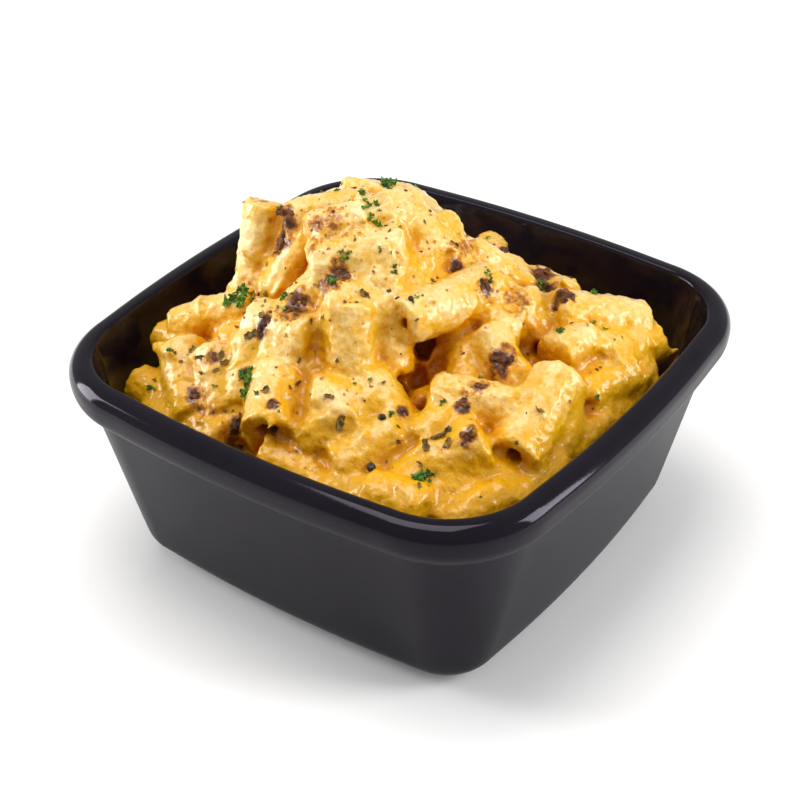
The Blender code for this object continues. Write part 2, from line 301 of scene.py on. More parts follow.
# Tubes that shape what shows, in millimetres: axis start, axis end, radius, and which ends lie open
tubes = [
    # the pile's left shoulder
    ((-35, -3, 69), (-34, -7, 60), 5.2, ""), ((-23, -4, 67), (-25, -9, 59), 5.4, ""),
    ((-33, -11, 57), (-27, -12, 55), 4.6, ""), ((-9, -14, 66), (-12, -20, 62), 4.8, ""),
    # the terrace on the left
    ((-42, -23, 49), (-30, -18, 54), 4.8, ""), ((-46, -26, 46), (-38, -28, 46), 3.6, ""),
    ((-34, -33, 48), (-26, -40, 43), 5.8, ""), ((-42, -38, 41), (-37, -39, 41), 4.4, ""),
    ((-25, -33, 51), (-19, -38, 46), 5.2, ""), ((-18, -30, 55), (-15, -36, 49), 4.6, ""),
    ((-13, -39, 45), (-8, -40, 44), 3.8, ""), ((-18, -25, 59), (-8, -26, 60), 5.0, ""),
    # the upright tube at the front
    ((-13, -24, 57), (-5, -40.5, 49), 5.8, "end"),
    # the overhang in the middle
    ((-3, -19, 65), (3, -13, 63), 5.8, ""), ((0, -20, 64), (2, -23, 57), 5.6, "end"),
    ((4, -12, 62), (8, -16, 54), 4.4, ""), ((-3, -10, 67), (2, -9, 66), 5.0, ""),
    # the front and its corner
    ((3, -32, 52), (13, -25, 50), 5.2, ""), ((5, -38, 46), (8, -33, 50), 5.0, ""),
    ((14, -39, 45), (18, -32, 48), 5.0, ""), ((9, -25, 52), (17, -28, 48), 5.0, ""),
    ((23, -18, 52), (33, -14, 51), 5.4, ""), ((27, -34, 43), (34, -26, 48), 6.0, ""),
    ((33, -36, 42), (37, -28, 43), 5.0, ""), ((25, -27, 48), (28, -20, 50), 5.0, ""),
    # round the hollow
    ((9, -11, 63), (14, 8, 62), 5.4, "start"), ((13, 1, 55), (21, -8, 50), 4.6, ""),
    ((22, 0, 55), (30, -4, 50), 5.0, ""), ((16, 11, 58), (21, 5, 56), 4.8, ""),
    ((21, 14, 57), (25, 13, 53), 5.0, "end"), ((6, -9, 44), (16, -15, 46), 4.4, ""),
    ((-1, 6, 42), (14, -8, 45), 4.4, ""),
    # the right shoulder
    ((41, -19, 48), (40, -5, 53), 6.0, "start"), ((41, -3, 50), (45, -13, 42), 4.6, ""),
    ((30, 18, 55), (39, 28, 51), 6.0, ""), ((40, 16, 51), (42, 28, 48), 5.4, ""),
    ((43, 6, 47), (45, 14, 47), 5.2, ""), ((43, 24, 46), (46, 20, 44), 4.6, ""),
    ((36, 11, 54), (35, 7, 54), 5.0, ""),
    # the top and the ridge behind it
    ((-14, -7, 73), (-6, 5, 74), 5.6, ""), ((-1, -4, 71), (-11, -12, 69), 5.6, ""),
    ((-6, 9, 73), (2, 6, 68), 5.2, ""), ((-1, 14, 68), (5, 11, 62), 5.2, ""),
    ((2, 3, 67), (3, -6, 64), 5.2, ""), ((6, 18, 61), (10, 20, 58), 4.8, ""),
    ((-6, 43, 49), (1, 33, 51), 3.6, ""), ((9, 28, 54), (15, 23, 54), 4.4, ""),
    ((-25, -3, 71), (-16, 3, 73), 5.0, ""), ((15, 31, 51), (22, 28, 52), 4.8, ""),
    ((-20, 10, 72), (-14, 16, 70), 5.2, ""),
    # low along the two near walls
    ((-24, -42, 41), (-16, -44, 42), 4.8, ""), ((-1, -44, 42), (6, -44, 41), 4.8, ""),
    ((11, -45, 40), (19, -43, 41), 4.6, ""), ((24, -43, 43), (31, -42, 43), 5.0, ""),
    ((38, -38, 39), (42, -30, 41), 5.2, ""), ((45, -26, 41), (46, -16, 42), 4.8, ""),
    ((46, -7, 42), (47, 2, 42), 4.8, ""), ((7, -8, 40), (10, -13, 41), 5.0, ""),
    ((-34, -42, 39), (-28, -44, 40), 4.6, ""), ((47, 8, 41), (46, 16, 41), 4.8, ""),
]
# hollows, as mouth, way in, width, height and depth in millimetres: the tubes' open ends, then the gap between
# the tubes in the middle
bores = (
    ((-3.4, -43.5, 47.4), (-5, 16, 8), 2.8, 2.8, 9), ((10, -13, 63), (1, 10, -1), 2.8, 3.6, 9),
    ((42, -22.5, 48), (-2, 10, 0), 3.2, 6.0, 12), ((25, 11, 51), (-4, 3, 5), 3.0, 3.0, 8),
    ((9, -8, 55), (-3, 5, -3), 8, 11, 11), ((13, -14, 51), (-3, 5, -4), 5, 7, 8),
)
heap = {
    "roughVoxel": 0.6 * mm,
    "voxel": 0.5 * mm,
    "curdCount": 520,
    "curdSize": (0.6, 1.5),
    "fill": 0.5 * mm,               # sauce rounds every crevice to at least this radius
    "smoothing": 2,
    "wallGap": 0.25 * mm,
    "cutHeight": 18 * mm,           # the hidden underside is left off below this
    "triangles": 230000,
    "relief": ((5 * mm, 0.6 * mm), (1.5 * mm, 0.8 * mm)),   # sizes and depths of the sauce's lumps
    # the far side of the pile, which falls away in rows round its peak: (radius, height) of each
    "peak": (-13 * mm, 5 * mm),
    "farRows": ((13, 66), (20, 58), (27, 48), (33, 39)),
    "farArc": (25, 165),
    "bedLevel": 34 * mm,
    "bedSpacing": 11.5 * mm,
    # smooth mounds of sauce and buried pasta: centre and half sizes in millimetres
    "mounds": (
        ((-4, -8, 34), (40, 40, 13)), ((-10, 0, 47), (25, 22, 18)), ((-12, 2, 55), (16, 11, 11)),
        ((22, 0, 34), (30, 32, 12)), ((-10, -36, 30), (40, 20, 10)), ((30, -20, 30), (26, 34, 10)),
        ((-30, -28, 32), (22, 24, 11)), ((3, 0, 40), (13, 12, 9)), ((-18, 22, 33), (20, 16, 8)), ((12, 22, 33), (24, 16, 8)),
        ((2, -31, 46), (13, 8, 8)), ((24, 6, 44), (8, 8, 8)), ((39, -24, 40), (8, 8, 8)),
        ((-6, -26, 50), (8, 7, 8)), ((-22, -20, 48), (14, 10, 8)), ((36, 16, 46), (9, 12, 7)),
    ),
}


# browned patches: place, reach in millimetres, and how dark
toasted = (
    (-13, -10, 78, 9, 0.42), (-9, -9, 76, 7, 0.35), (-14, -13, 73, 5, 0.5), (-27, -8, 72, 6, 0.55),
    (-35, -3, 73, 4, 0.4), (-10, -24, 65, 6, 0.6), (-5, -20, 70, 5, 0.6), (-5, -32, 64, 5, 0.45),
    (-15, -29, 62, 6, 0.45), (-22, -36, 55, 7, 0.3), (17, 28, 56, 5, 0.8), (21, 24, 56, 4, 0.7),
    (29, 17, 60, 3, 0.6), (28, -5, 56, 4, 0.8), (20, -40, 42, 6, 0.6), (34, -31, 52, 6, 0.3),
    (7, 14, 67, 6, 0.5), (17, 5, 64, 4, 0.5), (22, 9, 61, 6, 0.45), (-20, -42, 46, 7, 0.45),
    (-14, -43, 43, 5, 0.6), (30, -17, 57, 5, 0.45), (19, -28, 53, 4, 0.4), (5, -42, 44, 7, 0.4),
    (46, -2, 43, 5, 0.4), (46, -22, 40, 6, 0.45), (34, -39, 46, 4, 0.35), (-30, -38, 50, 6, 0.3),
    (8, 8, 65, 3, 0.6), (6, 34, 50, 6, 0.5), (-26, 20, 60, 7, 0.45), (-4, 34, 52, 6, 0.5),
    (20, 38, 40, 7, 0.4), (-40, 8, 45, 6, 0.4), (-30, 36, 40, 6, 0.4), (42, 20, 50, 6, 0.35),
)

# burnt bits of cheese, as place x, y and length
burntSpots = (
    (-26, -8, 4.6), (-11, -22, 3.4), (-5, -16, 4.0), (-7, -18, 2.6), (28, -5, 4.8), (29, 17, 4.0),
    (16, 29, 4.2), (17, 5, 2.4), (29, -22, 2.6), (8, 8, 2.4), (-24, -42, 2.6), (-12, -43, 2.8),
    (-15, -29, 2.6), (-11, -25, 2.4), (30, -17, 2.2), (20, 24, 3.4), (19, -28, 2.2), (-14, -37, 2.0),
    (-23, -36, 2.4), (-3, -42, 2.2), (35, -29, 2.6), (-20, 28, 3.2), (2, 36, 3.0), (-36, 20, 2.8),
)


def modelTube(openEnds):
    # one length of pasta along Z: a cylinder whose open ends are inset and pushed in as a bore
    deselectAll()
    bpy.ops.mesh.primitive_cylinder_add(vertices=20, radius=pasta["radius"], depth=pasta["length"])
    piece = bpy.context.object
    bpy.ops.object.mode_set(mode="EDIT")
    for end, sign in (("start", -1), ("end", 1)):
        bpy.ops.mesh.select_all(action="DESELECT")
        bm = bmesh.from_edit_mesh(piece.data)
        for face in bm.faces:
            face.select_set(face.normal.z * sign > 0.9)
        bmesh.update_edit_mesh(piece.data)
        if end in openEnds:
            bpy.ops.mesh.inset(thickness=pasta["radius"] - pasta["hole"])
            bpy.ops.mesh.extrude_region_move(
                TRANSFORM_OT_translate={"value": (0, 0, -sign * pasta["holeDepth"])})
        else:
            bpy.ops.mesh.inset(thickness=0.3 * pasta["radius"], depth=0.12 * pasta["radius"])
            bpy.ops.mesh.inset(thickness=0.3 * pasta["radius"], depth=0.06 * pasta["radius"])
    # rings along the length, for the bend
    bpy.ops.mesh.select_all(action="DESELECT")
    bm = bmesh.from_edit_mesh(piece.data)
    for edge in bm.edges:
        along = abs((edge.verts[0].co - edge.verts[1].co).z)
        if along > 0.99 * pasta["length"]:
            edge.select_set(True)
    bmesh.update_edit_mesh(piece.data)
    bpy.ops.mesh.subdivide(number_cuts=5)
    bpy.ops.object.mode_set(mode="OBJECT")
    return piece


def placeTube(model, start, end, radius, chance):
    piece = model.copy()
    piece.data = model.data.copy()
    bpy.context.collection.objects.link(piece)
    start, end = Vector(start) * mm, Vector(end) * mm
    radius *= mm
    axis = end - start
    length = axis.length + pasta["ends"] * radius
    bend = chance.uniform(-1, 1) * pasta["bend"]
    for vert in piece.data.vertices:
        vert.co.x += bend * (1 - (2 * vert.co.z / pasta["length"]) ** 2)
    squash = 1 + chance.uniform(-1, 1) * pasta["squash"]
    scale = Vector((radius / pasta["radius"] * squash, radius / pasta["radius"] / squash,
                    length / pasta["length"]))
    turn = axis.to_track_quat("Z", "Y").to_matrix().to_4x4()
    spin = Matrix.Rotation(chance.uniform(0, math.tau), 4, "Z")
    piece.matrix_world = Matrix.Translation((start + end) / 2) @ turn @ spin @ Matrix.Diagonal((*scale, 1))
    return piece


def placeMound(model, centre, size):
    piece = model.copy()
    piece.data = model.data.copy()
    bpy.context.collection.objects.link(piece)
    piece.location = Vector(centre) * mm
    piece.scale = Vector(size)
    return piece


def farSlope(chance):
    # rows of tubes that lie across the pile's far side
    rows = []
    for radius, height in heap["farRows"]:
        begin, sweep = math.radians(heap["farArc"][0]), math.radians(heap["farArc"][1] - heap["farArc"][0])
        count = max(round(sweep * radius / 13), 2)
        for i in range(count):
            angle = begin + sweep * (i + chance.uniform(0.3, 0.7)) / count
            out = Vector((math.cos(angle), math.sin(angle), 0))
            slant = chance.uniform(-0.8, 0.8)
            axis = (Vector((-out.y, out.x, 0)) + out * slant - Vector((0, 0, slant))).normalized() * 7
            middle = Vector((*heap["peak"], 0)) / mm + out * radius + Vector((0, 0, height + chance.uniform(-2, 2)))
            rows.append((middle - axis, middle + axis, chance.uniform(4.6, 5.3),
                         chance.choice(("", "start", "end", "startend"))))
    return rows


def bedTubes(chance):
    # tubes that lie every way over the whole dish, lower into the corner at +X +Y
    bed = []
    spacing = heap["bedSpacing"]
    for row in range(-5, 6):
        for column in range(-5, 6):
            x = (column + chance.uniform(-0.3, 0.3)) * spacing
            y = (row + chance.uniform(-0.3, 0.3)) * spacing
            if max(abs(x), abs(y)) > 49 * mm or abs(x) + abs(y) > 84 * mm:
                continue
            away = min(max((x + y - 56 * mm) / (30 * mm), 0), 1)
            level = heap["bedLevel"] - 15 * mm * away - pasta["radius"] + chance.uniform(-1, 2) * mm
            heading = chance.uniform(0, math.pi)
            axis = Vector((math.cos(heading), math.sin(heading), chance.uniform(-0.25, 0.25))) * 8
            middle = Vector((x, y, level)) / mm
            bed.append((middle - axis, middle + axis, chance.uniform(4.6, 5.3), ""))
    return bed


def wallDistance(point, gap):
    # how far a point lies outside the dish's cavity, and the way back in
    half = dish["half"] - dish["rimWidth"] - dish["slope"] * (dish["height"] - point.z) - gap
    inset = dish["inset"]
    x, y = abs(point.x), abs(point.y)
    if x > inset and y > inset:
        apart = Vector((x - inset, y - inset))
        over = apart.length - (half - inset - dish["sideBow"])
        apart.normalize()
    elif x > y:
        apart, over = Vector((1, 0)), x - (half - dish["sideBow"] * (y / inset) ** 2)
    else:
        apart, over = Vector((0, 1)), y - (half - dish["sideBow"] * (x / inset) ** 2)
    return over, Vector((math.copysign(apart.x, point.x), math.copysign(apart.y, point.y), 0))


def pokeBores(piece):
    # the surface inside each hollow is pressed back to its far wall, after the sauce so that it stays open
    for mouth, inward, width, height, deep in bores:
        inward = Vector(inward).normalized()
        turn = inward.to_track_quat("Z", "Y").to_matrix().to_4x4()
        place = Matrix.Translation((Vector(mouth) + inward * deep / 4) * mm)
        hollow = place @ turn @ Matrix.Diagonal((width * mm / 2, height * mm / 2, deep * mm / 2, 1))
        back = hollow.inverted()
        for vert in piece.data.vertices:
            local = back @ vert.co
            if local.length < 1:
                local.z = math.sqrt(1 - local.x ** 2 - local.y ** 2)
                vert.co = hollow @ local


def scatterCurds(piece, chance):
    # bits of half-melted cheese stuck on the tubes, flattened against them
    deselectAll()
    bpy.ops.mesh.primitive_ico_sphere_add(subdivisions=2, radius=1)
    model = bpy.context.object
    spots = [face for face in piece.data.polygons if face.center.z > 26 * mm]
    bits = []
    for face in chance.sample(spots, heap["curdCount"]):
        size = chance.uniform(*heap["curdSize"]) * mm
        turn = face.normal.to_track_quat("Z", "Y").to_matrix().to_4x4()
        spin = Matrix.Rotation(chance.uniform(0, math.tau), 4, "Z")
        # half of them are drawn-out shreds, half are lumps
        long = chance.uniform(2, 4.5) if chance.random() < 0.5 else chance.uniform(1, 1.5)
        shape = Matrix.Diagonal((size * long, size * chance.uniform(0.6, 1), size * chance.uniform(0.35, 0.6), 1))
        bit = model.copy()
        bit.data = model.data.copy()
        bpy.context.collection.objects.link(bit)
        bit.matrix_world = Matrix.Translation(face.center) @ turn @ spin @ shape
        bits.append(bit)
    bpy.data.objects.remove(model)
    return bits


def makeHeap():
    chance = random.Random(pasta["seed"])
    models = {key: modelTube(key) for key in ("", "start", "end", "startend")}
    parts = [placeTube(models[opened], start, end, radius, chance)
             for start, end, radius, opened in tubes + farSlope(chance) + bedTubes(chance)]
    deselectAll()
    bpy.ops.mesh.primitive_ico_sphere_add(subdivisions=4, radius=1 * mm)
    ball = bpy.context.object
    parts += [placeMound(ball, centre, size) for centre, size in heap["mounds"]]
    # a slab under it all closes the filling below the bed
    deselectAll()
    bpy.ops.mesh.primitive_cube_add(size=1, location=(0, 0, 20 * mm), scale=(104 * mm, 104 * mm, 20 * mm))
    slab = bpy.context.object
    for vert in slab.data.vertices:
        if vert.co.x > 0 and vert.co.y > 0 and vert.co.z > 0:
            vert.co.z -= 12 * mm
    parts.append(slab)
    for model in list(models.values()) + [ball]:
        bpy.data.objects.remove(model)
    piece = joinPieces(parts, "cheesyPasta")
    applyModifier(piece, "REMESH", mode="VOXEL", voxel_size=heap["roughVoxel"])
    print("tubes joined:", len(piece.data.polygons), "faces")
    piece = joinPieces([piece] + scatterCurds(piece, chance), "cheesyPasta")
    # swelling the pile, melting it together and shrinking it back leaves the crevices filled
    applyModifier(piece, "DISPLACE", strength=heap["fill"], mid_level=0)
    applyModifier(piece, "REMESH", mode="VOXEL", voxel_size=heap["roughVoxel"])
    applyModifier(piece, "DISPLACE", strength=-heap["fill"], mid_level=0)
    pokeBores(piece)
    applyModifier(piece, "REMESH", mode="VOXEL", voxel_size=heap["voxel"])
    applyModifier(piece, "SMOOTH", factor=0.5, iterations=heap["smoothing"])
    for size, depth in heap["relief"]:
        texture = bpy.data.textures.new("sauce", "CLOUDS")
        texture.noise_scale = size
        texture.noise_depth = 2
        applyModifier(piece, "DISPLACE", texture=texture, texture_coords="LOCAL", strength=depth, mid_level=0.5)
    for vert in piece.data.vertices:
        over, back = wallDistance(vert.co, heap["wallGap"])
        if over > 0:
            vert.co -= back * over
    applyModifier(piece, "DECIMATE", ratio=min(1, heap["triangles"] / (2 * len(piece.data.polygons))))
    # the hidden underside is cut off flat
    makeActive(piece)
    bpy.ops.object.mode_set(mode="EDIT")
    bpy.ops.mesh.select_all(action="SELECT")
    bpy.ops.mesh.bisect(plane_co=(0, 0, heap["cutHeight"]), plane_no=(0, 0, 1), clear_inner=True, use_fill=True)
    bpy.ops.object.mode_set(mode="OBJECT")
    bpy.ops.object.shade_smooth()
    return piece


def keepLargestShell(piece):
    # pockets shut in between tubes are dropped
    makeActive(piece)
    bm = bmesh.new()
    bm.from_mesh(piece.data)
    unseen = set(bm.verts)
    shells = []
    while unseen:
        front = [unseen.pop()]
        shell = list(front)
        while front:
            for edge in front.pop().link_edges:
                for other in edge.verts:
                    if other in unseen:
                        unseen.remove(other)
                        front.append(other)
                        shell.append(other)
        shells.append(shell)
    shells.sort(key=len)
    for shell in shells[:-1]:
        bmesh.ops.delete(bm, geom=shell, context="VERTS")
    bm.to_mesh(piece.data)
    bm.free()


def paintDepth(piece):
    # how shut in each point is, as the share of a fan of rays that meets more food: within a few millimetres
    # for the creases, within a tube's width for the hollows
    # both measures serve only as painted shade in the sauce's colour: yellower, golden and amber where the food
    # shuts a point in
    tree = BVHTree.FromObject(piece, bpy.context.evaluated_depsgraph_get())
    golden = math.pi * (3 - math.sqrt(5))
    fan = []
    for i in range(14):
        height = 0.12 + 0.86 * i / 13
        flat = math.sqrt(1 - height * height)
        fan.append(Vector((flat * math.cos(golden * i), flat * math.sin(golden * i), height)))
    reach, near = 11 * mm, 3.2 * mm
    depths, creases = [], []
    for vert in piece.data.vertices:
        turn = vert.normal.to_track_quat("Z", "Y")
        start = vert.co + vert.normal * 0.4 * mm
        shut = crease = 0
        for ray in fan:
            distance = tree.ray_cast(start, turn @ ray, reach)[3]
            if distance is not None:
                shut += 1 - 0.5 * distance / reach
                crease += max(1 - distance / near, 0)
        depths.append(shut / len(fan))
        creases.append(crease / len(fan))
    for name, values in (("depth", depths), ("crease", creases)):
        piece.data.attributes.new(name, "FLOAT", "POINT").data.foreach_set("value", values)
    return tree


def paintLitSide(piece):
    # painted light: faces turned up and to the left, towards the key light, are paler
    towardsKeyLight = Vector((-0.42, -0.25, 0.87))
    layer = piece.data.attributes.new("litSide", "FLOAT", "POINT")
    layer.data.foreach_set("value", [max(vert.normal.dot(towardsKeyLight), 0) for vert in piece.data.vertices])


def paintToast(piece):
    # where the oven browned the top: a patch round each spot, the strongest one wins
    layer = piece.data.attributes.new("toast", "FLOAT", "POINT")
    for vert in piece.data.vertices:
        strength = 0
        for x, y, z, size, amount in toasted:
            away = (vert.co - Vector((x, y, z)) * mm).length / (size * mm)
            if away < 1:
                strength = max(strength, amount * (1 - away * away))
        # the cheese is browned all round a burnt bit
        for x, y, length in burntSpots:
            away = math.hypot(vert.co.x / mm - x, vert.co.y / mm - y) / length
            if away < 1 and vert.normal.z > 0.1:
                strength = max(strength, 0.72 * (1 - away * away))
        layer.data[vert.index].value = strength


def cheeseSauce():
    # pasta under melted cheese and white sauce: milky, moist, light scatters a few millimetres into it
    material, tree, shader = startMaterial("meltedCheeseSauce")
    place = addNode(tree, "ShaderNodeTexCoord")
    depth = addNode(tree, "ShaderNodeAttribute", {"attribute_name": "depth"})
    toast = addNode(tree, "ShaderNodeAttribute", {"attribute_name": "toast"})
    # cream and yellow cheese lie in patches 5 to 10 mm across
    patch = addNode(tree, "ShaderNodeTexNoise", {"Scale": 130.0, "Detail": 5.0, "Roughness": 0.62},
                    {"Vector": place.outputs["Object"]})
    # painted light: faces towards the key light are painted a paler cream
    litSide = addNode(tree, "ShaderNodeAttribute", {"attribute_name": "litSide"})
    litPaling = addNode(tree, "ShaderNodeMath", {"operation": "MULTIPLY_ADD", 1: -0.3, 2: -1.15},
                      {0: litSide.outputs["Fac"]})
    # the colour turns more yellow and golden lower down, between 60 mm and 43 mm high
    height = addNode(tree, "ShaderNodeSeparateXYZ", links={0: place.outputs["Object"]})
    lowerDown = addNode(tree, "ShaderNodeMapRange", {"From Min": 60 * mm, "From Max": 43 * mm},
                     {"Value": height.outputs["Z"]})
    lowAndLit = addNode(tree, "ShaderNodeMath", {"operation": "MULTIPLY_ADD", 1: 0.75},
                    {0: lowerDown.outputs["Result"], 2: litPaling.outputs[0]})
    # painted shade: points shut in by the food around them are painted yellower
    shut = addNode(tree, "ShaderNodeMath", {"operation": "MULTIPLY_ADD", 1: 1.4},
                   {0: depth.outputs["Fac"], 2: lowAndLit.outputs[0]})
    # and curds a millimetre across show through as paler or yellower grains
    curd = addNode(tree, "ShaderNodeTexNoise", {"Scale": 950.0, "Detail": 3.0, "Roughness": 0.6},
                   {"Vector": place.outputs["Object"]})
    # painted shade: creases are painted yellower still
    crease = addNode(tree, "ShaderNodeAttribute", {"attribute_name": "crease"})
    creased = addNode(tree, "ShaderNodeMath", {"operation": "MULTIPLY_ADD", 1: 3.0},
                      {0: crease.outputs["Fac"], 2: shut.outputs[0]})
    grainy = addNode(tree, "ShaderNodeMath", {"operation": "MULTIPLY_ADD", 1: 1.3},
                     {0: curd.outputs["Fac"], 2: creased.outputs[0]})
    # pale cream against yellow: the patches and curds, with the painted shade of creases and hollows and the
    # painted light on faces towards the key light
    mottleAndShading = addNode(tree, "ShaderNodeMath", {"operation": "MULTIPLY_ADD", 1: 2.3, "use_clamp": True},
                      {0: patch.outputs["Fac"], 2: grainy.outputs[0]})
    yellow = addNode(tree, "ShaderNodeMix", {"data_type": "RGBA", 6: linearColour("#f8dfa2"),
                                             7: linearColour("#e8b010")}, {0: mottleAndShading.outputs[0]})
    # painted shade: shut-in creases are painted golden and deep hollows amber
    crevice = addNode(tree, "ShaderNodeMapRange", {"From Min": 0.2, "From Max": 0.5},
                      {"Value": depth.outputs["Fac"]})
    sunk = addNode(tree, "ShaderNodeMath", {"operation": "MULTIPLY_ADD", 1: 0.35},
                   {0: lowerDown.outputs["Result"], 2: crevice.outputs["Result"]})
    furrow = addNode(tree, "ShaderNodeMath", {"operation": "MULTIPLY_ADD", 1: 2.2, "use_clamp": True},
                     {0: crease.outputs["Fac"], 2: sunk.outputs[0]})
    golden = addNode(tree, "ShaderNodeMix", {"data_type": "RGBA", 7: linearColour("#dc9600")},
                     {0: furrow.outputs[0], 6: yellow.outputs[2]})
    hollow = addNode(tree, "ShaderNodeMapRange", {"From Min": 0.46, "From Max": 0.7},
                     {"Value": depth.outputs["Fac"]})
    amber = addNode(tree, "ShaderNodeMix", {"data_type": "RGBA", 7: linearColour("#c06a04")},
                    {0: hollow.outputs["Result"], 6: golden.outputs[2]})
    # browning follows the toasted spots and breaks up into flecks a millimetre or two across
    speck = addNode(tree, "ShaderNodeTexNoise", {"Scale": 420.0, "Detail": 5.0, "Roughness": 0.66},
                    {"Vector": place.outputs["Object"]})
    broken = addNode(tree, "ShaderNodeMath", {"operation": "MULTIPLY_ADD", 1: 3.4, 2: -2.3},
                     {0: speck.outputs["Fac"]})
    browned = addNode(tree, "ShaderNodeMath", {"operation": "MULTIPLY_ADD", 1: 2.5, "use_clamp": True},
                      {0: toast.outputs["Fac"], 2: broken.outputs[0]})
    crust = addNode(tree, "ShaderNodeValToRGB", links={"Fac": browned.outputs[0]})
    ramp = crust.color_ramp
    ramp.elements[0].position, ramp.elements[0].color = 0.25, linearColour("#de9c20")
    ramp.elements[1].position, ramp.elements[1].color = 1.0, linearColour("#56300c")
    ramp.elements.new(0.6).color = linearColour("#b8741a")
    edge = addNode(tree, "ShaderNodeMapRange", {"From Min": 0.12, "From Max": 0.5},
                   {"Value": browned.outputs[0]})
    surface = addNode(tree, "ShaderNodeMix", {"data_type": "RGBA"},
                      {0: edge.outputs["Result"], 6: amber.outputs[2], 7: crust.outputs["Color"]})
    tree.links.new(surface.outputs[2], shader.inputs["Base Color"])
    # grain of the grated cheese, a millimetre and less
    lumps = addNode(tree, "ShaderNodeTexNoise", {"Scale": 620.0, "Detail": 5.0, "Roughness": 0.62},
                    {"Vector": place.outputs["Object"]})
    # bare pasta is smooth, the cheese on it is lumpy; the bump follows the colour's mix, painted light and shade
    # included
    lumpy = addNode(tree, "ShaderNodeMapRange", {"To Min": 0.35, "To Max": 0.95}, {"Value": mottleAndShading.outputs[0]})
    coarse = addNode(tree, "ShaderNodeBump", {"Distance": 0.5 * mm},
                     {"Strength": lumpy.outputs["Result"], "Height": lumps.outputs["Fac"]})
    grain = addNode(tree, "ShaderNodeTexNoise", {"Scale": 1400.0, "Detail": 3.0, "Roughness": 0.65},
                    {"Vector": place.outputs["Object"]})
    bump = addNode(tree, "ShaderNodeBump", {"Strength": 0.75, "Distance": 0.22 * mm},
                   {"Height": grain.outputs["Fac"], "Normal": coarse.outputs["Normal"]})
    tree.links.new(bump.outputs["Normal"], shader.inputs["Normal"])
    rough = addNode(tree, "ShaderNodeMapRange", {"From Min": 0.3, "From Max": 0.7, "To Min": 0.22, "To Max": 0.38},
                    {"Value": patch.outputs["Fac"]})
    tree.links.new(rough.outputs["Result"], shader.inputs["Roughness"])
    shader.inputs["IOR"].default_value = 1.42
    shader.inputs["Specular IOR Level"].default_value = 0.25
    shader.inputs["Subsurface Weight"].default_value = 0.45
    shader.inputs["Subsurface Radius"].default_value = (1.0, 0.7, 0.25)
    shader.inputs["Subsurface Scale"].default_value = 2.2 * mm
    # a film of melted fat gives the small wet highlights
    shader.inputs["Coat Weight"].default_value = 0.7
    shader.inputs["Coat Roughness"].default_value = 0.14
    shader.inputs["Coat IOR"].default_value = 1.46
    return material


heapPiece = makeHeap()
keepLargestShell(heapPiece)
heapTree = paintDepth(heapPiece)
paintLitSide(heapPiece)
paintToast(heapPiece)
finishPiece(heapPiece, cheeseSauce(), "heap")
print("filling:", len(heapPiece.data.polygons), "faces")


# ---- what lies on top

toppings = {
    "seed": 5,
    # each as place x, y in millimetres and length
    "parsley": ((-30, -20, 5.2), (-27, -18, 4.6), (-31, -17, 4.2), (-15, 14, 4.8), (-12, 13, 4.0), (-8, -1, 3.6),
                (-6, -3, 3.2), (-12, 3, 3.4), (-12, -39, 4.2), (-14, -37, 3.2), (-14, -22, 3.4), (-4, -20, 3.4),
                (-6, -13, 3.0), (3, -9, 2.6), (16, 7, 2.8), (30, -39, 3.6), (31, -37, 3.2), (19, 25, 3.4),
                (32, 25, 3.2), (18, -30, 2.4), (25, -23, 2.2), (-37, -41, 3.4), (-33, -38, 2.4), (34, 7, 2.8),
                (46, 2, 2.2), (-20, -6, 3.0), (-24, 22, 3.4), (-10, 30, 3.0), (12, 36, 3.2), (-38, 12, 3.0)),
    "herbs": ((10, -37, 3.5), (29, -30, 2.9), (28, -33, 2.4), (30, -28, 2.2), (2, -17, 2.6), (43, -15, 2.6),
              (6, -35, 2.1), (29, -36, 1.9), (32, -41, 1.8), (-16, -28, 2.4), (-17, -31, 2.7), (-22, -35, 2.1),
              (-20, -36, 2.2), (-21, -38, 1.9), (-24, -39, 1.8), (-26, -37, 2.1), (-30, -35, 1.8), (-12, -42, 2.1),
              (-3, -34, 1.9), (-26, -15, 1.8), (-26, -10, 1.6), (32, -31, 2.1), (22, -34, 1.6), (-6, -40, 2.1)),
    "char": burntSpots,
    "pepper": ((17, -32, 1.7), (20, -40, 2.0), (10, -12, 1.2)),
    "scattered": {"parsley": 34, "herbs": 90, "char": 50, "crumbs": 260},
}


def dropOn(x, y):
    # the filling's surface straight below a place
    spot, normal = heapTree.ray_cast(Vector((x, y, 100)) * mm, Vector((0, 0, -1)))[:2]
    return spot, normal


def leafModel(name, lobes, chance):
    # a flat scrap of leaf: a circle whose rim is drawn in between its lobes and curled
    deselectAll()
    bpy.ops.mesh.primitive_circle_add(vertices=lobes * 4, radius=0.5, fill_type="TRIFAN")
    piece = bpy.context.object
    for vert in piece.data.vertices:
        reach = vert.co.length * 2
        if reach > 0.1:
            angle = math.atan2(vert.co.y, vert.co.x)
            vert.co *= 0.75 + 0.25 * math.cos(lobes * angle) + chance.uniform(-0.16, 0.16)
        vert.co.z = 0.22 * reach * math.sin(7 * vert.co.x + 5 * vert.co.y) + chance.uniform(-0.08, 0.08)
    applyModifier(piece, "SOLIDIFY", thickness=0.07, offset=0)
    piece.name = name
    return piece


